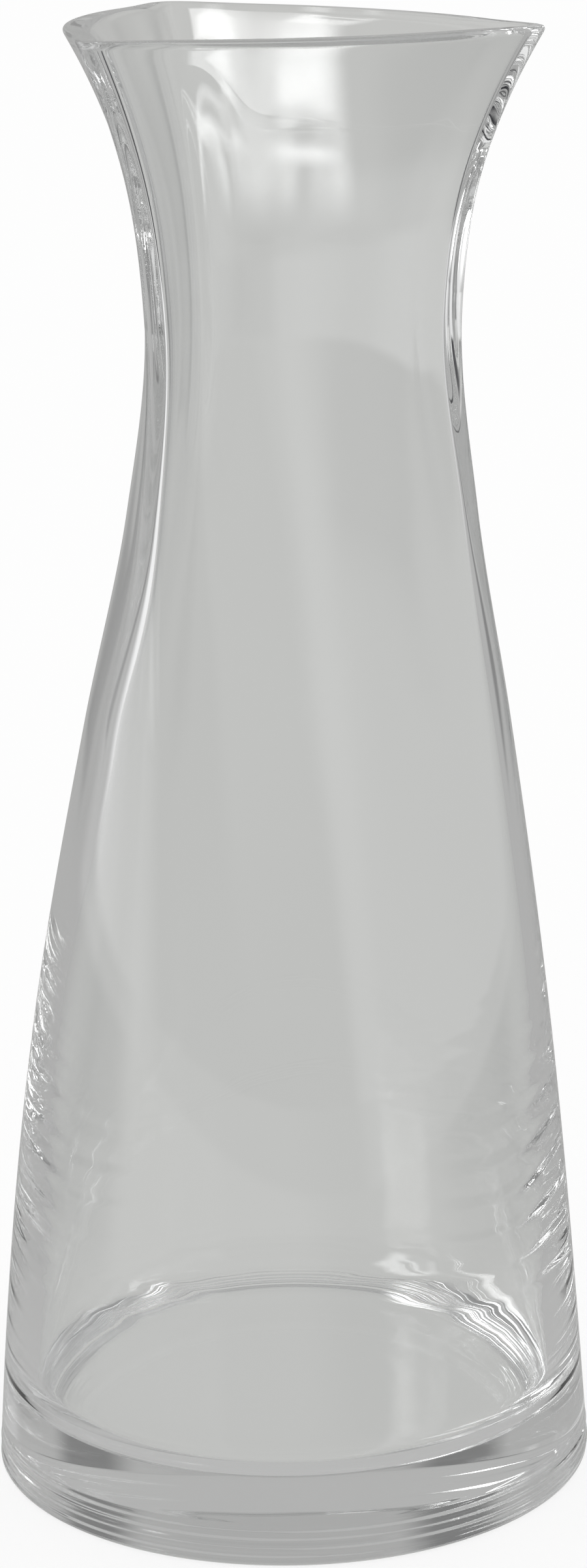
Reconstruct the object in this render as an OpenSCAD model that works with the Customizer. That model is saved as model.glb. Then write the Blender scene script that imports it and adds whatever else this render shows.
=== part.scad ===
// Water carafe: clear glass with a heavy base, a tapering body, a narrow neck
// and a mouth drawn out into pouring lips that run down the neck as ridges.
// The glass is one piece. Its zones are modelled apart and stacked face to face.
// Lengths are millimetres. The origin is the centre of the foot, +Z is up,
// and one lip points along +X.

/* [Heights] */
// Height of the base, where the glass is still round
base_h = 28; // [20:1:45]
// Height of the tapering body, from the base to the neck
body_h = 162; // [110:1:230]
// Height of the neck, from the body to the mouth
neck_h = 66; // [40:1:100]
// Height of the flaring mouth, from the neck to the rim
mouth_h = 24; // [15:1:40]

/* [Radii midway between two lips] */
// Radius of the foot, the widest place
foot_r = 58.25; // [45:0.25:75]
// Radius at the top of the base
base_r = 56.2; // [44:0.1:73]
// Radius at the belly, low on the body
belly_r = 48.35; // [40:0.05:65]
// Radius at the shoulder, high on the body
shoulder_r = 36.75; // [30:0.05:50]
// Radius at the bottom of the neck
neck_r = 27.6; // [22:0.1:38]
// Radius at the waist, the narrowest place
waist_r = 22.9; // [18:0.1:32]
// Radius at the bottom of the mouth
throat_r = 26.35; // [21:0.05:36]
// Radius at the rim
rim_r = 36.9; // [30:0.1:50]

/* [Pouring lips] */
// Number of lips round the mouth
lips = 3; // [1:1:5]
// How far a lip's crest stands out beyond the sides of the rim
lip_reach = 14.4; // [4:0.1:20]
// How narrow a lip's ridge is on the outside, from the waist up
lip_sharpness = 14; // [2:0.5:20]
// How narrow a lip's groove is on the inside, from the waist up
groove_sharpness = 25; // [2:0.5:30]
// How narrow the ridge is low on the body, where it melts away
ridge_sharpness = 2.5; // [1:0.5:10]

/* [Glass] */
// Thickness of the floor
floor_t = 13.2; // [6:0.1:18]
// Radius between the floor and the wall, inside
floor_round = 9.2; // [2:0.1:12]
// Radius of the lower outer edge, at the foot
heel_round = 1; // [0.5:0.1:6]
// Wall of the base, above the floor
base_wall = 6.5; // [4:0.1:10]
// Wall of the body
body_wall = 4.4; // [3:0.1:8]
// Wall of the neck
neck_wall = 4.4; // [3:0.1:7]
// Wall at the rim, midway between two lips
rim_wall = 5.2; // [3.5:0.1:8]
// Radius of the two polished edges of the rim
rim_round = 1.2; // [0.4:0.1:1.6]

/* [Hidden] */

glass_colour = [0.80, 0.83, 0.84];
round_fn = 180;

// Heights of the joins between the zones
base_top = base_h;
body_top = base_top + body_h;
neck_top = body_top + neck_h;
height = neck_top + mouth_h;

// Where the shaping stations lie, as shares of the zone that holds them
belly_share = 0.395;
shoulder_share = 0.753;
waist_share = 0.576;

shoulder_z = base_top + body_h * shoulder_share;
waist_z = body_top + neck_h * waist_share;

// The stations up the outside, and what the glass measures at each
station_z = [
    0,
    base_top,
    base_top + body_h * belly_share,
    shoulder_z,
    body_top,
    waist_z,
    neck_top,
    height
];
station_r = [foot_r, base_r, belly_r, shoulder_r, neck_r, waist_r, throat_r, rim_r];
station_wall = [
    base_wall, base_wall, body_wall, body_wall, neck_wall, neck_wall, neck_wall, rim_wall
];

// The lips start at the top of the base and grow to their full reach at the rim
lip_shares = [0.18, 0.49, 0.72, 0.87, 0.955, 1];
lip_z = [for (i = [1:len(station_z) - 1]) station_z[i]];
lip_r = concat([0], [for (share = lip_shares) lip_reach * share]);

// A lip is thinner than the side walls, by this share of the wall at its full reach
lip_thinning_share = 0.3;
// The part of a lip's reach that is the corner between two nearly straight sides,
// and how blunt that corner is, as a share that the sharpness divides
corner_share = 0.7;
corner_blunt_share = 0.84;

// Points round a section, drawn together at the crests by this share of their step
around = 96;
crowding_share = 0.7;
crowding = crowding_share * 180 / PI / lips;
round_angles = [
    for (i = [0:around - 1]) let (a = 360 * i / around) a - crowding * sin(lips * a)
];

// Steps of the section up each zone, and round an edge
base_steps = 6;
body_steps = 12;
neck_steps = 11;
mouth_steps = 5;
edge_steps = 4;

// A smooth curve through stations: the slope at each is that of a parabola
// through it and its two neighbours.
function chord(z, v, i) = (v[i + 1] - v[i]) / (z[i + 1] - z[i]);
function inner_slope(z, v, i) =
    let (below = z[i] - z[i - 1], above = z[i + 1] - z[i])
    (chord(z, v, i - 1) * above + chord(z, v, i) * below) / (below + above);
function slope(z, v, i) =
    i == 0 ? 2 * chord(z, v, 0) - inner_slope(z, v, 1)
    : i == len(z) - 1 ? 2 * chord(z, v, i - 1) - inner_slope(z, v, i - 1)
    : inner_slope(z, v, i);
function span_at(z, h, i = 0) = i >= len(z) - 2 || h <= z[i + 1] ? i : span_at(z, h, i + 1);
function curve(z, v, h) =
    let (
        i = span_at(z, h),
        step = z[i + 1] - z[i],
        t = (h - z[i]) / step,
        rise = step * slope(z, v, i),
        fall = step * slope(z, v, i + 1),
        gain = v[i + 1] - v[i]
    )
    v[i] + t * (rise + t * (3 * gain - 2 * rise - fall + t * (rise + fall - 2 * gain)));

// Outside and inside, at height h: the radius of the sides and the reach of the lips
function side(h) = curve(station_z, station_r, h);
function wall(h) = curve(station_z, station_wall, h);
function reach(h) = curve(lip_z, lip_r, h);
function groove_gain(h) = wall(h) * lip_thinning_share * reach(h) / lip_reach;
function climb_share(h) =
    let (t = max(0, min(1, (h - shoulder_z) / (waist_z - shoulder_z)))) t * t * (3 - 2 * t);
function sharpness(h) = ridge_sharpness + (lip_sharpness - ridge_sharpness) * climb_share(h);
function outside(h, inset = 0) = [h, side(h) - inset, reach(h), sharpness(h)];
function inside(h, inset = 0) = [
    h,
    side(h) - wall(h) + inset,
    reach(h) + groove_gain(h),
    sharpness(h) * groove_sharpness / lip_sharpness
];

// One point of a section [height, radius of the sides, reach, sharpness] at angle a
function lip_weight(a, sharpness) =
    let (
        near = (1 + cos(lips * a)) / 2,
        away = acos(cos(lips * a)) / 180,
        blunt = corner_blunt_share / sharpness,
        fall = (norm([away, blunt]) - blunt) / (norm([1, blunt]) - blunt)
    )
    corner_share * pow(1 - fall, 2) + (1 - corner_share) * pow(near, sharpness);
function section_point(section, a) =
    let (r = section[1] + section[2] * lip_weight(a, section[3]))
    [r * cos(a), r * sin(a), section[0]];

// Evenly spaced heights from one to another
function heights(from, to, steps) = [for (i = [0:steps]) from + (to - from) * i / steps];

// Round edges: how far along the turn, and how far the edge has drawn in
function turn(i) = 90 * i / edge_steps;
function drawn_in(radius, a) = radius * (1 - cos(a));
function short_of(radius, a) = radius * (1 - sin(a));

// A ring of glass through closed sections: up the outside, then down the inside
module ring_solid(sections) {
    count = len(sections);
    points = [for (section = sections) for (a = round_angles) section_point(section, a)];
    function at(j, i) = (j % count) * around + i % around;
    faces = [
        for (j = [0:count - 1]) for (i = [0:around - 1])
            each [
                [at(j, i), at(j + 1, i), at(j + 1, i + 1)],
                [at(j, i), at(j + 1, i + 1), at(j, i + 1)]
            ]
    ];
    polyhedron(points, faces, convexity = 6);
}

// A plain zone of the wall between two heights
module wall_zone(from, to, steps) {
    ring_solid(concat(
        [for (h = heights(from, to, steps)) outside(h)],
        [for (h = heights(to, from, steps)) inside(h)]
    ));
}

// The foot, the thick floor and the round lower wall
module base() {
    floor_top = floor_t + floor_round;
    foot_edge = [
        for (i = [edge_steps:-1:0])
            let (a = turn(i), h = short_of(heel_round, a))
            [side(h) - drawn_in(heel_round, a), h]
    ];
    outer_wall = [for (h = heights(heel_round, base_top, base_steps)) [side(h), h]];
    inner_wall = [
        for (h = heights(base_top, floor_top, base_steps)) [side(h) - wall(h), h]
    ];
    floor_edge = [
        for (i = [1:edge_steps])
            let (a = turn(i), h = floor_t + short_of(floor_round, a))
            [side(h) - wall(h) - drawn_in(floor_round, a), h]
    ];
    outline = concat(
        [[0, 0]],
        foot_edge,
        [for (i = [1:base_steps]) outer_wall[i]],
        inner_wall,
        floor_edge,
        [[0, floor_t]]
    );
    color(glass_colour) rotate_extrude($fn = round_fn) polygon(outline);
}

// The tapering wall, where the lips begin as faint ridges
module body() {
    color(glass_colour) wall_zone(base_top, body_top, body_steps);
}

// The narrow neck with its waist and its ridges
module neck() {
    color(glass_colour) wall_zone(body_top, neck_top, neck_steps);
}

// The flaring mouth with its pouring lips and polished rim
module mouth() {
    edge_h = height - rim_round;
    climb = [for (i = [1:edge_steps]) turn(i)];
    descent = [for (i = [edge_steps:-1:1]) turn(i)];
    color(glass_colour) ring_solid(concat(
        [for (h = heights(neck_top, edge_h, mouth_steps)) outside(h)],
        [for (a = climb) outside(height - short_of(rim_round, a), drawn_in(rim_round, a))],
        [for (a = descent) inside(height - short_of(rim_round, a), drawn_in(rim_round, a))],
        [for (h = heights(edge_h, neck_top, mouth_steps)) inside(h)]
    ));
}

base();
body();
neck();
mouth();
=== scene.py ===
"""A clear glass water carafe, dressed for its photograph.

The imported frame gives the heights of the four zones. The glass itself is made here as one
continuous surface, as the real carafe is, and it stands for all four of them.
Lengths are metres, named angles are degrees, +Z is up, and one pouring lip points along +X.
"""
import math

import bpy
import numpy as np
from mathutils import Matrix, Vector


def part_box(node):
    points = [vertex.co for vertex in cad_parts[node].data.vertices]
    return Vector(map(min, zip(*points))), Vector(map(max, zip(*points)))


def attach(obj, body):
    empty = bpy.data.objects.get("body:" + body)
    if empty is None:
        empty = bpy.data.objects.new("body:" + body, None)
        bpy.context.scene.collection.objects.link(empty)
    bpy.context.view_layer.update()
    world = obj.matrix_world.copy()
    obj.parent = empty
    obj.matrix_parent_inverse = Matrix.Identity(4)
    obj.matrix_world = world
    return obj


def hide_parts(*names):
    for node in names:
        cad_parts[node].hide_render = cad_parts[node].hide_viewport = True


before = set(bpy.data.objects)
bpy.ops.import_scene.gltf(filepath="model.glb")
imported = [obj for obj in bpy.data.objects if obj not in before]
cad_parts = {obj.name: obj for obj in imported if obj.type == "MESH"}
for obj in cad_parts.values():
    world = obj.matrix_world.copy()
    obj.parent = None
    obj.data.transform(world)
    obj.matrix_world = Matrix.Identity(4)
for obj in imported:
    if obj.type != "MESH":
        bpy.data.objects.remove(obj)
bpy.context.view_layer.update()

# Heights of the zones, from the frame
BASE_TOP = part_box("base")[1][2]
BODY_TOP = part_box("body")[1][2]
NECK_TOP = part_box("neck")[1][2]
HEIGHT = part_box("mouth")[1][2]
BODY_H = BODY_TOP - BASE_TOP
NECK_H = NECK_TOP - BODY_TOP

# Outside: radii midway between two lips
FOOT_R = 0.05825
BASE_R = 0.0562
BELLY_R = 0.04835
SHOULDER_R = 0.03675
NECK_R = 0.0276
WAIST_R = 0.0229
THROAT_R = 0.02635
RIM_R = 0.0369

# Pouring lips
LIPS = 3
LIP_REACH = 0.0144
LIP_SHARPNESS = 14
RIDGE_SHARPNESS = 2.5

# Glass
FLOOR_T = 0.0132
FLOOR_ROUND = 0.0092
HEEL_ROUND = 0.001
BASE_WALL = 0.0065
BODY_WALL = 0.0044
NECK_WALL = 0.0044
RIM_WALL = 0.0052
RIM_ROUND = 0.0012

# Shaping stations, as shares of the zone that holds them
BELLY_SHARE = 0.395
SHOULDER_SHARE = 0.753
WAIST_SHARE = 0.576
BELLY_Z = BASE_TOP + BODY_H * BELLY_SHARE
SHOULDER_Z = BASE_TOP + BODY_H * SHOULDER_SHARE
WAIST_Z = BODY_TOP + NECK_H * WAIST_SHARE
STATION_Z = (0, BASE_TOP, BELLY_Z, SHOULDER_Z, BODY_TOP, WAIST_Z, NECK_TOP, HEIGHT)
STATION_R = (FOOT_R, BASE_R, BELLY_R, SHOULDER_R, NECK_R, WAIST_R, THROAT_R, RIM_R)
STATION_WALL = (
    BASE_WALL, BASE_WALL, BODY_WALL, BODY_WALL, NECK_WALL, NECK_WALL, NECK_WALL, RIM_WALL,
)

# The lips start this far up the base, and have these shares of their reach at their stations
LIP_START_SHARE = 0.5
LIP_SHARES = (0, 0.18, 0.49, 0.72, 0.87, 0.955, 1)
LIP_Z = (BASE_TOP * LIP_START_SHARE, *STATION_Z[2:])
# A lip is thinner than the side walls, by this share of the wall at its full reach
LIP_THINNING_SHARE = 0.3
# The part of a lip's reach that is the corner between two nearly straight sides, and how blunt
# that corner is, as a share that the sharpness divides
CORNER_SHARE = 0.7
CORNER_BLUNT_SHARE = 0.84

# The polished mouth of this carafe isn't quite level: its rise per metre along X and Y, and
# the share of the neck from which it leans
MOUTH_TILT = (-0.0166, -0.0186)
TILT_SHARE = 0.4
TILT_FROM = BODY_TOP + NECK_H * TILT_SHARE

# Waves that the mould left in the inner wall, low down on the two sides beside the camera:
# the height of a wave, its depth, and the heights where the waves start, are full and end
WAVE_LENGTH = 0.0062
WAVE_DEPTH = 0.0001
WAVES_START = 0.03
WAVES_FULL = 0.064
WAVES_END = 0.105
# Their strength at the sides, and how much of it the right gains and the left loses
SIDE_WAVES_SHARE = 0.72
RIGHT_WAVES_SHARE = 0.28
# A finer wave over them: its share of their depth, its rate, and how often it turns round
FINE_WAVE_SHARE = 0.5
FINE_WAVE_RATE = 1.9
FINE_WAVE_TURNS = 4

# Fine rings on the outside, just above the foot, which fade over the top share of their zone
RING_LENGTH = 0.0017
RING_DEPTH = 0.00008
RINGS_END = 0.0095
RINGS_FADE_SHARE = 0.5
# A broader ring under them: its share of their depth, its rate, and how it follows their sway
BROAD_RING_SHARE = 0.6
BROAD_RING_RATE = 0.47
BROAD_RING_SWAY = -1.7

# How the waves and the rings sway round the glass, as terms in radians. Each has its size, how
# often it comes round, the height over which it climbs by a radian, and its start.
WAVE_SWAY = ((1.5, 3, 0.016, 0), (1.1, 7, -0.027, 1.3))
RING_SWAY = ((0.9, 1, math.inf, 0.6), (0.5, 2, math.inf, 2.1))

# How finely the glass is meshed: points round a ring, drawn together at the lips by this share,
# steps of the wall, steps round an edge, and the rings of the two discs as shares of their radius
AROUND = 288
CROWDING_SHARE = 0.68
WALL_STEP = 0.0019
WAVE_STEP = 0.0009
RING_STEP = 0.0003
EDGE_STEPS = 10
DISC_SHARES = (0.2, 0.4, 0.6, 0.8, 0.93)
# The inner wall is worked out at so many points round a section. Its grooves are eased over a
# few of them, as a bell curve that is cut off at so many times its width.
SECTION_POINTS = 720
GROOVE_EASE = 3
BELL_REACH = 3

# Clear glass: its colour and its bending of light, and how fast light is lost inside it, per metre
GLASS_COLOUR = (0.98, 0.985, 0.985)
GLASS_IOR = 1.51
DEPTH_COLOUR = (0.50, 0.51, 0.50)
GLASS_DENSITY = 1.5
# Polished glass isn't quite flat: how fine its ripple is, its detail, strength and height
RIPPLE_SCALE = 55.0
RIPPLE_DETAIL = 1.0
RIPPLE_STRENGTH = 0.05
RIPPLE_HEIGHT = 0.0004
# The foot is worn matt round its lower edge: how far up and in, how rough, how fine its scuffs
# are, and between which levels of the noise they rise
WEAR_HEIGHT = 0.0004
WEAR_WIDTH = 0.0016
WEAR_ROUGHNESS = 0.18
WEAR_SCALE = 900.0
WEAR_LEVELS = (0.45, 0.7)

# The camera of the photograph, fitted to the outline. It stands on the -Y side, turned round
# by its azimuth towards the lip at +X.
CAMERA_AZIMUTH = 7.78
CAMERA_DISTANCE = 0.8097
CAMERA_HEIGHT = 0.36155
CAMERA_PITCH = 15.592
CAMERA_YAW = 0.164
CAMERA_ROLL = -1.074
FOCAL_PIXELS = 6745.9
FRAME_PIXELS = (900, 2406)
SENSOR = 36.0
CLIP_START = 0.05
CLIP_END = 40
# Light crosses the thick glass many times before it leaves
BOUNCES = 64

# The studio. The surround is white paper. Through the glass shows the pale grey sweep of the
# photograph. What the glass reflects is a painted reflection of the room, dimmer, with a
# softbox painted into it as a glowing highlight.
PAPER = (1.0, 1.0, 1.0)
PAPER_GLOW_SHARE = 0.8
SWEEP = (0.575, 0.575, 0.562)
PAINTED_ROOM = (0.44, 0.44, 0.435)
WORLD_STRENGTH = 1.0
FLOOR_SIZE = 12.0
FLOOR_GAP = 0.0003
# The painted reflection of the floor that the glass shows: painted shade right under it, and the
# table, out to its edge. The table is painted pale in front of the carafe, from this distance and
# between these headings, with soft edges.
PAINTED_SHADE_UNDER = (0.50, 0.50, 0.495)
PAINTED_TABLE = (0.72, 0.72, 0.71)
TABLE_NEAR = 0.17
TABLE_EDGE = 0.76
TABLE_FADE = 0.10
TABLE_SIDES = (-75, 14)
TABLE_SOFT = 12
# Painted reflections of dark cloths on the table to the right and left of the carafe paint dark
# streaks at its edges
PAINTED_CLOTH = (0.03, 0.03, 0.035)
CLOTH_NEAR = 0.20
CLOTH_SIDES = ((66, 104), (-108, -72))
CLOTH_SOFT = 7

# Painted reflections of the room, seen only by rays that the glass reflects, each painted over
# those before it. Each has its headings, from the camera's side towards its right, and its
# elevations, with the width of the soft edges of both, and its light.
PAINTED_REFLECTIONS = {
    "dim front": ((-62, 34), (-90, 48), 5, 8, 0.28),
    "pale left": ((-130, -84), (-90, 12), 7, 5, 0.93),
    "pale strip left of the front": ((-84, -62), (0, 12), 5, 5, 0.95),
    "pale right": ((34, 112), (-90, 30), 5, 12, 0.66),
    "bright edge of the right": ((34, 44), (-90, 30), 4, 10, 0.84),
    "dark stand behind, right": ((137, 153), (-90, 60), 4, 10, 0.20),
    "dark stand behind, left": ((-162, -146), (-90, 60), 4, 10, 0.20),
    # A painted highlight: a patch that glows in reflections alone, where there is no lamp
    "softbox": ((-74, -50), (5, 44), 4, 7, 6.5),
    "bar before the softbox": ((-72, -57), (21, 27.5), 3.5, 2.5, 0.9),
    "block before the softbox": ((-71, -58), (-4, 16.5), 3.5, 3, 0.9),
}

# A count of a ray's bounces is above this when there was any
ANY_BOUNCE = 0.5


def curve(z, v, h):
    """A smooth curve through stations, with the slope of a parabola at each."""
    z, v, h = (np.asarray(x, float) for x in (z, v, h))
    step = np.diff(z)
    chord = np.diff(v) / step
    slope = np.empty(len(z))
    slope[1:-1] = (chord[:-1] * step[1:] + chord[1:] * step[:-1]) / (step[1:] + step[:-1])
    slope[0] = 2 * chord[0] - slope[1]
    slope[-1] = 2 * chord[-1] - slope[-2]
    i = np.clip(np.searchsorted(z, h) - 1, 0, len(z) - 2)
    t = (h - z[i]) / step[i]
    rise, fall, gain = step[i] * slope[i], step[i] * slope[i + 1], v[i + 1] - v[i]
    return v[i] + t * (rise + t * (3 * gain - 2 * rise - fall + t * (rise + fall - 2 * gain)))


def ease(t):
    """0 to 1, smoothly, as t goes from 0 to 1."""
    t = np.clip(t, 0, 1)
    return t * t * (3 - 2 * t)


def side(h):
    """The outer radius midway between two lips."""
    return curve(STATION_Z, STATION_R, h)


def wall(h):
    """The thickness of the wall midway between two lips."""
    return curve(STATION_Z, STATION_WALL, h)


def reach(h):
    """How far the crest of a lip's ridge stands out beyond the sides."""
    lip_r = [LIP_REACH * share for share in LIP_SHARES]
    return np.where(np.asarray(h) > LIP_Z[0], curve(LIP_Z, lip_r, np.maximum(h, LIP_Z[0])), 0)


def sharpness(h):
    """A ridge is narrow from the waist up and broad low on the body."""
    climb = ease((h - SHOULDER_Z) / (WAIST_Z - SHOULDER_Z))
    return RIDGE_SHARPNESS + (LIP_SHARPNESS - RIDGE_SHARPNESS) * climb


def lip_weight(h, a):
    """A corner between two nearly straight sides, drawn out into a lip."""
    wave = np.cos(LIPS * a)
    away = np.arccos(np.clip(wave, -1, 1)) / math.pi
    blunt = CORNER_BLUNT_SHARE / sharpness(h)
    fall = (np.hypot(away, blunt) - blunt) / (math.hypot(1, blunt) - blunt)
    near = (1 + wave) / 2
    return CORNER_SHARE * (1 - fall) ** 2 + (1 - CORNER_SHARE) * near ** sharpness(h)


def outside_radii(h, a):
    return side(h) + reach(h) * lip_weight(h, a)


def inside_radii(h, a):
    """The inner wall, as far behind every point of the outer one as the glass is thick."""
    b = np.linspace(0, 2 * math.pi, SECTION_POINTS, endpoint=False)
    outer = outside_radii(h, b)
    turn = a[:, None] - b[None, :]
    along, across = outer * np.cos(turn), outer * np.sin(turn)
    thinning = LIP_THINNING_SHARE * reach(h) / LIP_REACH * lip_weight(h, a)
    glass = (wall(h) * (1 - thinning))[:, None]
    touch = np.where(
        (np.abs(across) < glass) & (along > 0),
        along - np.sqrt(np.maximum(glass ** 2 - across ** 2, 0)), np.inf,
    )
    return touch.min(axis=1)


def eased_round(r):
    """Evenly spaced radii of a closed section, each drawn towards its neighbours."""
    reached = GROOVE_EASE * BELL_REACH
    bell = np.exp(-np.arange(-reached, reached + 1) ** 2 / (2 * GROOVE_EASE ** 2))
    wrapped = np.concatenate([r[-reached:], r, r[:reached]])
    return np.convolve(wrapped, bell / bell.sum(), "valid")


def sway(h, a, terms):
    """How far, in radians, waves are shifted at a height and an angle."""
    return sum(size * np.sin(turns * a + h / climb + start) for size, turns, climb, start in terms)


def foot_rings(h, a):
    """How far the fine rings above the foot stand out."""
    strength = ease(h / HEEL_ROUND) * ease((RINGS_END - h) / (RINGS_END * RINGS_FADE_SHARE))
    shift = sway(h, a, RING_SWAY)
    phase = 2 * math.pi * h / RING_LENGTH
    broad = BROAD_RING_SHARE * np.sin(BROAD_RING_RATE * phase + BROAD_RING_SWAY * shift)
    return RING_DEPTH * strength * (np.sin(phase + shift) + broad)


def wall_waves(h, a):
    """How far the waves low in the inner wall stand out."""
    rise = ease((h - WAVES_START) / (WAVES_FULL - WAVES_START))
    strength = rise * ease((WAVES_END - h) / (WAVES_END - WAVES_FULL))
    rightward = np.sin(a - math.radians(CAMERA_AZIMUTH - 90))
    patches = rightward ** 2 * (SIDE_WAVES_SHARE + RIGHT_WAVES_SHARE * rightward)
    phase = 2 * math.pi * h / WAVE_LENGTH + sway(h, a, WAVE_SWAY)
    fine = FINE_WAVE_SHARE * np.sin(FINE_WAVE_RATE * phase + FINE_WAVE_TURNS * a)
    return WAVE_DEPTH * strength * patches * (np.sin(phase) + fine)


def ring(h, a, r):
    """The points of a level ring, from their angles and radii."""
    return np.stack([r * np.cos(a), r * np.sin(a), np.full_like(a, float(h))], -1)


def outside_ring(h, a, inset=0.0):
    return ring(h, a, outside_radii(h, a) - inset + foot_rings(h, a))


def inside_ring(h, a, inset=0.0):
    even = np.linspace(0, 2 * math.pi, SECTION_POINTS, endpoint=False)
    r = eased_round(inside_radii(h, even))
    full_turn = np.append(even, 2 * math.pi)
    wall_r = np.interp(a % (2 * math.pi), full_turn, np.append(r, r[0]))
    return ring(h, a, wall_r + wall_waves(h, a) + inset)


def round_angles():
    """Angles round a section, drawn together at the crests of the lips."""
    a = np.arange(AROUND) * 2 * math.pi / AROUND
    return a - CROWDING_SHARE / LIPS * np.sin(LIPS * a)


def heights(start, end, step=WALL_STEP):
    """Evenly spaced heights from one to another, about a step apart."""
    count = max(2, round(abs(end - start) / step))
    return np.linspace(start, end, count + 1)


def drawn_in(radius, turn):
    """How far a round edge has drawn in at this turn along it."""
    return radius * (1 - math.cos(turn))


def short_of(radius, turn):
    """How far a round edge is still short of its level face at this turn along it."""
    return radius * (1 - math.sin(turn))


def glass_rings():
    """Every ring of the carafe: the foot, up the outside, over the rim, down the inside."""
    a = round_angles()
    turns = np.linspace(0, math.pi / 2, EDGE_STEPS + 1)
    rim_edge = HEIGHT - RIM_ROUND
    floor_top = FLOOR_T + FLOOR_ROUND
    rings = [outside_ring(0, a, HEEL_ROUND) * [share, share, 1] for share in DISC_SHARES]
    for turn in turns[::-1]:
        h = short_of(HEEL_ROUND, turn)
        rings.append(outside_ring(h, a, drawn_in(HEEL_ROUND, turn)))
    rings += [outside_ring(h, a) for h in heights(HEEL_ROUND, RINGS_END, RING_STEP)[1:]]
    rings += [outside_ring(h, a) for h in heights(RINGS_END, rim_edge)[1:]]
    for turn in turns[1:]:
        h = HEIGHT - short_of(RIM_ROUND, turn)
        rings.append(outside_ring(h, a, drawn_in(RIM_ROUND, turn)))
    for turn in turns[:0:-1]:
        h = HEIGHT - short_of(RIM_ROUND, turn)
        rings.append(inside_ring(h, a, drawn_in(RIM_ROUND, turn)))
    rings += [inside_ring(h, a) for h in heights(rim_edge, WAVES_END)[:-1]]
    rings += [inside_ring(h, a) for h in heights(WAVES_END, floor_top, WAVE_STEP)[:-1]]
    for turn in turns:
        h = FLOOR_T + short_of(FLOOR_ROUND, turn)
        rings.append(inside_ring(h, a, -drawn_in(FLOOR_ROUND, turn)))
    rings += [rings[-1] * [share, share, 1] for share in DISC_SHARES[::-1]]
    return np.array(rings)


def tilt_mouth(points):
    """Leans the top of the neck and the mouth out of level by a hair."""
    strength = ease((points[..., 2] - TILT_FROM) / (HEIGHT - TILT_FROM))
    points[..., 2] += strength * (points[..., :2] @ np.array(MOUTH_TILT))


def glass_mesh():
    """One closed surface: quads between the rings, and a fan at the middle of each disc."""
    rings = glass_rings()
    tilt_mouth(rings)
    count, around, _ = rings.shape
    foot, floor = count * around, count * around + 1
    middles = np.array([[0, 0, 0], [0, 0, FLOOR_T]])
    points = np.concatenate([rings.reshape(-1, 3), middles])
    j, i = np.meshgrid(np.arange(count - 1), np.arange(around), indexing="ij")
    low, high, following = j * around, (j + 1) * around, (i + 1) % around
    quads = np.stack([low + i, low + following, high + following, high + i], -1).reshape(-1, 4)
    last = (count - 1) * around
    fans = [(foot, (k + 1) % around, k) for k in range(around)]
    fans += [(floor, last + k, last + (k + 1) % around) for k in range(around)]
    mesh = bpy.data.meshes.new("carafe_glass")
    mesh.from_pydata(points.tolist(), [], quads.tolist() + fans)
    mesh.shade_smooth()
    mesh.update()
    return mesh


def link_math(tree, operation, *values):
    """The result of an operation on values, each of them a socket or a plain number."""
    node = tree.nodes.new("ShaderNodeMath")
    node.operation = operation
    for socket, value in zip(node.inputs, values):
        if isinstance(value, bpy.types.NodeSocket):
            tree.links.new(value, socket)
        else:
            socket.default_value = value
    return node.outputs[0]


def link_mix(tree, factor, first, second):
    """The first colour where the factor is 0, the second where it is 1."""
    node = tree.nodes.new("ShaderNodeMix")
    node.data_type = "RGBA"
    tree.links.new(factor, node.inputs[0])
    # A mix node has its two colours on sockets 6 and 7, and its result on socket 2
    for socket, value in ((node.inputs[6], first), (node.inputs[7], second)):
        if isinstance(value, bpy.types.NodeSocket):
            tree.links.new(value, socket)
        else:
            socket.default_value = (*value, 1)
    return node.outputs[2]


def link_dot(tree, vector, axis):
    """How far a vector goes along an axis."""
    node = tree.nodes.new("ShaderNodeVectorMath")
    node.operation = "DOT_PRODUCT"
    tree.links.new(vector, node.inputs[0])
    node.inputs[1].default_value = axis
    return node.outputs["Value"]


def link_length(tree, vector):
    node = tree.nodes.new("ShaderNodeVectorMath")
    node.operation = "LENGTH"
    tree.links.new(vector, node.inputs[0])
    return node.outputs["Value"]


def link_step(tree, value, start, full):
    """0 to 1, smoothly, as a value goes from start to full."""
    node = tree.nodes.new("ShaderNodeMapRange")
    node.interpolation_type = "SMOOTHSTEP"
    tree.links.new(value, node.inputs["Value"])
    node.inputs["From Min"].default_value = start
    node.inputs["From Max"].default_value = full
    return node.outputs[0]


def link_band(tree, value, low, high, soft):
    """1 between two values and 0 outside them, with soft edges."""
    rise = link_step(tree, value, low - soft, low + soft)
    return link_math(tree, "MULTIPLY", rise, link_step(tree, value, high + soft, high - soft))


def link_ripple(tree, place):
    """The faint unevenness of polished glass, as a normal."""
    noise = tree.nodes.new("ShaderNodeTexNoise")
    tree.links.new(place, noise.inputs["Vector"])
    noise.inputs["Scale"].default_value = RIPPLE_SCALE
    noise.inputs["Detail"].default_value = RIPPLE_DETAIL
    bump = tree.nodes.new("ShaderNodeBump")
    bump.inputs["Strength"].default_value = RIPPLE_STRENGTH
    bump.inputs["Distance"].default_value = RIPPLE_HEIGHT
    tree.links.new(noise.outputs[0], bump.inputs["Height"])
    return bump.outputs[0]


def link_wear(tree, place):
    """The roughness of the glass: fine scuffs round the lower edge of the foot alone."""
    noise = tree.nodes.new("ShaderNodeTexNoise")
    tree.links.new(place, noise.inputs["Vector"])
    noise.inputs["Scale"].default_value = WEAR_SCALE
    scuffs = link_step(tree, noise.outputs[0], *WEAR_LEVELS)
    edge = FOOT_R - HEEL_ROUND
    outer = link_step(tree, link_length(tree, place), edge - WEAR_WIDTH, edge)
    low = link_step(tree, link_dot(tree, place, (0, 0, 1)), WEAR_HEIGHT, 0)
    worn = link_math(tree, "MULTIPLY", outer, low)
    return link_math(tree, "MULTIPLY", link_math(tree, "MULTIPLY", worn, scuffs), WEAR_ROUGHNESS)


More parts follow.
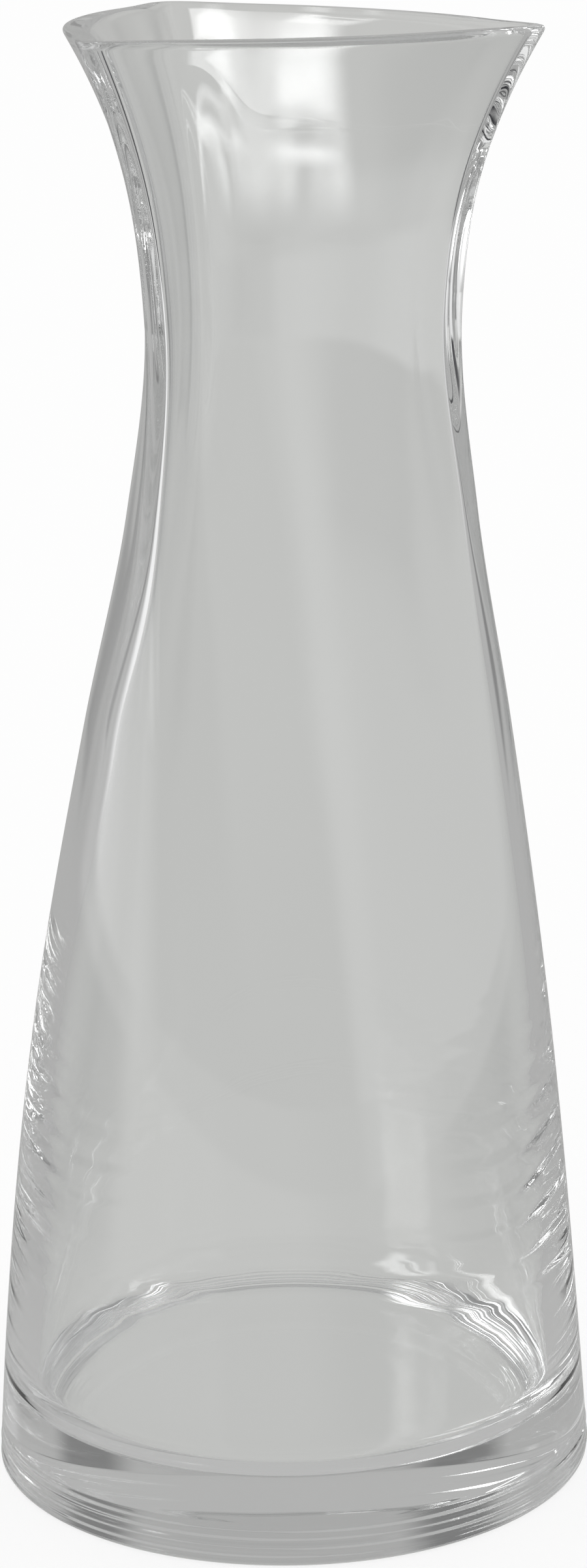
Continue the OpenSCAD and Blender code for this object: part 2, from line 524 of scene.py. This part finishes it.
def glass_material():
    mat = bpy.data.materials.new("clear_glass")
    mat.use_nodes = True
    tree = mat.node_tree
    bsdf = tree.nodes["Principled BSDF"]
    bsdf.inputs["Base Color"].default_value = (*GLASS_COLOUR, 1)
    bsdf.inputs["IOR"].default_value = GLASS_IOR
    bsdf.inputs["Transmission Weight"].default_value = 1.0
    place = tree.nodes.new("ShaderNodeTexCoord").outputs["Object"]
    tree.links.new(link_ripple(tree, place), bsdf.inputs["Normal"])
    tree.links.new(link_wear(tree, place), bsdf.inputs["Roughness"])
    depth = tree.nodes.new("ShaderNodeVolumeAbsorption")
    depth.inputs["Color"].default_value = (*DEPTH_COLOUR, 1)
    depth.inputs["Density"].default_value = GLASS_DENSITY
    tree.links.new(depth.outputs[0], tree.nodes["Material Output"].inputs["Volume"])
    return mat


def make_glass():
    glass = bpy.data.objects.new("carafe_glass", glass_mesh())
    bpy.context.scene.collection.objects.link(glass)
    glass.data.materials.append(glass_material())
    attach(glass, "root")
    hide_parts("base", "body", "neck", "mouth")


def ray_kinds(tree):
    """Camera rays and light on the paper; and rays that the glass has reflected."""
    path = tree.nodes.new("ShaderNodeLightPath")
    lit = link_math(tree, "GREATER_THAN", path.outputs["Diffuse Depth"], ANY_BOUNCE)
    paper = link_math(tree, "MAXIMUM", path.outputs["Is Camera Ray"], lit)
    mirrored = link_math(tree, "GREATER_THAN", path.outputs["Glossy Depth"], ANY_BOUNCE)
    return paper, mirrored


def heading_and_elevation(tree, vector):
    """Where a direction points, in degrees: round from the camera's side, and up."""
    turn = math.radians(CAMERA_AZIMUTH)
    to_camera = link_dot(tree, vector, (math.sin(turn), -math.cos(turn), 0))
    to_right = link_dot(tree, vector, (math.cos(turn), math.sin(turn), 0))
    squares = [link_math(tree, "MULTIPLY", part, part) for part in (to_camera, to_right)]
    level = link_math(tree, "SQRT", link_math(tree, "ADD", *squares))
    heading = link_math(tree, "ARCTAN2", to_right, to_camera)
    elevation = link_math(tree, "ARCTAN2", link_dot(tree, vector, (0, 0, 1)), level)
    return link_math(tree, "DEGREES", heading), link_math(tree, "DEGREES", elevation)


def painted_room_reflection(tree, heading, elevation):
    """The painted reflection of the room, with its painted softbox highlight, in a direction."""
    colour = PAINTED_ROOM
    for sides, ends, soft_sides, soft_ends, light in PAINTED_REFLECTIONS.values():
        across = link_band(tree, heading, *sides, soft_sides)
        up = link_band(tree, elevation, *ends, soft_ends)
        colour = link_mix(tree, link_math(tree, "MULTIPLY", across, up), colour, (light,) * 3)
    return colour


def painted_table_reflection(tree, heading, away):
    """The painted reflection of the table, with painted shade under the carafe, from a heading and
    a distance.
    """
    front = link_math(
        tree, "MULTIPLY",
        link_step(tree, away, TABLE_NEAR - TABLE_FADE, TABLE_NEAR),
        link_band(tree, heading, *TABLE_SIDES, TABLE_SOFT),
    )
    # Painted shade right under the carafe, giving way to the painted room further out
    plain = link_mix(tree, link_step(tree, away, FOOT_R, TABLE_NEAR), PAINTED_SHADE_UNDER, PAINTED_ROOM)
    colour = link_mix(tree, front, plain, PAINTED_TABLE)
    # Dark cloths painted into the reflection, from their near distance outwards
    past = link_step(tree, away, CLOTH_NEAR, CLOTH_NEAR + TABLE_FADE)
    for sides in CLOTH_SIDES:
        painted_cloth = link_math(tree, "MULTIPLY", past, link_band(tree, heading, *sides, CLOTH_SOFT))
        colour = link_mix(tree, painted_cloth, colour, PAINTED_CLOTH)
    return colour


def painted_floor_reflection(tree, spot):
    """The painted reflection that the glass shows of a spot on the floor: the table, then the
    room.
    """
    away = link_length(tree, spot)
    heading, elevation = heading_and_elevation(tree, spot)
    beyond = link_step(tree, away, TABLE_EDGE - TABLE_FADE, TABLE_EDGE)
    table = painted_table_reflection(tree, heading, away)
    return link_mix(tree, beyond, table, painted_room_reflection(tree, heading, elevation))


def link_paper(tree):
    """White paper that glows by itself and still takes the carafe's shadow."""
    matt = tree.nodes.new("ShaderNodeBsdfDiffuse")
    matt.inputs["Color"].default_value = (*PAPER, 1)
    white = tree.nodes.new("ShaderNodeEmission")
    white.inputs["Color"].default_value = (*PAPER, 1)
    sheet = tree.nodes.new("ShaderNodeMixShader")
    sheet.inputs[0].default_value = PAPER_GLOW_SHARE
    tree.links.new(matt.outputs[0], sheet.inputs[1])
    tree.links.new(white.outputs[0], sheet.inputs[2])
    return sheet.outputs[0]


def floor_material():
    mat = bpy.data.materials.new("paper")
    mat.use_nodes = True
    tree = mat.node_tree
    tree.nodes.remove(tree.nodes["Principled BSDF"])
    paper, mirrored = ray_kinds(tree)
    spot = tree.nodes.new("ShaderNodeNewGeometry").outputs["Position"]
    ground = tree.nodes.new("ShaderNodeEmission")
    # Rays through the glass see the grey sweep. Rays that the glass reflects see a painted
    # reflection of the table and the room.
    seen = link_mix(tree, mirrored, SWEEP, painted_floor_reflection(tree, spot))
    tree.links.new(seen, ground.inputs["Color"])
    shader = tree.nodes.new("ShaderNodeMixShader")
    tree.links.new(paper, shader.inputs[0])
    tree.links.new(ground.outputs[0], shader.inputs[1])
    tree.links.new(link_paper(tree), shader.inputs[2])
    tree.links.new(shader.outputs[0], tree.nodes["Material Output"].inputs["Surface"])
    return mat


def make_world():
    world = bpy.data.worlds.new("studio")
    bpy.context.scene.world = world
    world.use_nodes = True
    tree = world.node_tree
    paper, mirrored = ray_kinds(tree)
    direction = tree.nodes.new("ShaderNodeTexCoord").outputs["Generated"]
    # Camera rays and light see white paper and rays through the glass see the grey sweep. Rays
    # that the glass reflects see a painted reflection of the room.
    room = painted_room_reflection(tree, *heading_and_elevation(tree, direction))
    glass_sees = link_mix(tree, mirrored, SWEEP, room)
    background = tree.nodes["Background"]
    tree.links.new(link_mix(tree, paper, glass_sees, PAPER), background.inputs["Color"])
    background.inputs["Strength"].default_value = WORLD_STRENGTH


def make_floor():
    half = FLOOR_SIZE / 2
    corners = [(-half, -half), (half, -half), (half, half), (-half, half)]
    mesh = bpy.data.meshes.new("paper_floor")
    mesh.from_pydata([(x, y, -FLOOR_GAP) for x, y in corners], [], [(0, 1, 2, 3)])
    floor = bpy.data.objects.new("paper_floor", mesh)
    bpy.context.scene.collection.objects.link(floor)
    mesh.materials.append(floor_material())


def make_camera():
    data = bpy.data.cameras.new("camera")
    data.sensor_width = SENSOR
    data.lens = FOCAL_PIXELS / max(FRAME_PIXELS) * SENSOR
    data.clip_start, data.clip_end = CLIP_START, CLIP_END
    cam = bpy.data.objects.new("camera", data)
    bpy.context.scene.collection.objects.link(cam)
    pitch, yaw, roll = (math.radians(v) for v in (CAMERA_PITCH, CAMERA_YAW, CAMERA_ROLL))
    ahead = Vector((
        math.sin(yaw) * math.cos(pitch), math.cos(yaw) * math.cos(pitch), -math.sin(pitch)
    ))
    level = ahead.cross(Vector((0, 0, 1))).normalized()
    upright = level.cross(ahead)
    right = math.cos(roll) * level + math.sin(roll) * upright
    up = -math.sin(roll) * level + math.cos(roll) * upright
    axes = Matrix((right, up, -ahead)).transposed().to_4x4()
    place = Matrix.Translation((0, -CAMERA_DISTANCE, CAMERA_HEIGHT))
    cam.matrix_world = Matrix.Rotation(math.radians(CAMERA_AZIMUTH), 4, "Z") @ place @ axes
    bpy.context.scene.camera = cam


def set_view():
    scene = bpy.context.scene
    scene.view_settings.view_transform = "Standard"
    scene.cycles.max_bounces = BOUNCES
    scene.cycles.transmission_bounces = BOUNCES
    scene.cycles.glossy_bounces = BOUNCES


make_glass()
make_world()
make_floor()
make_camera()
set_view()
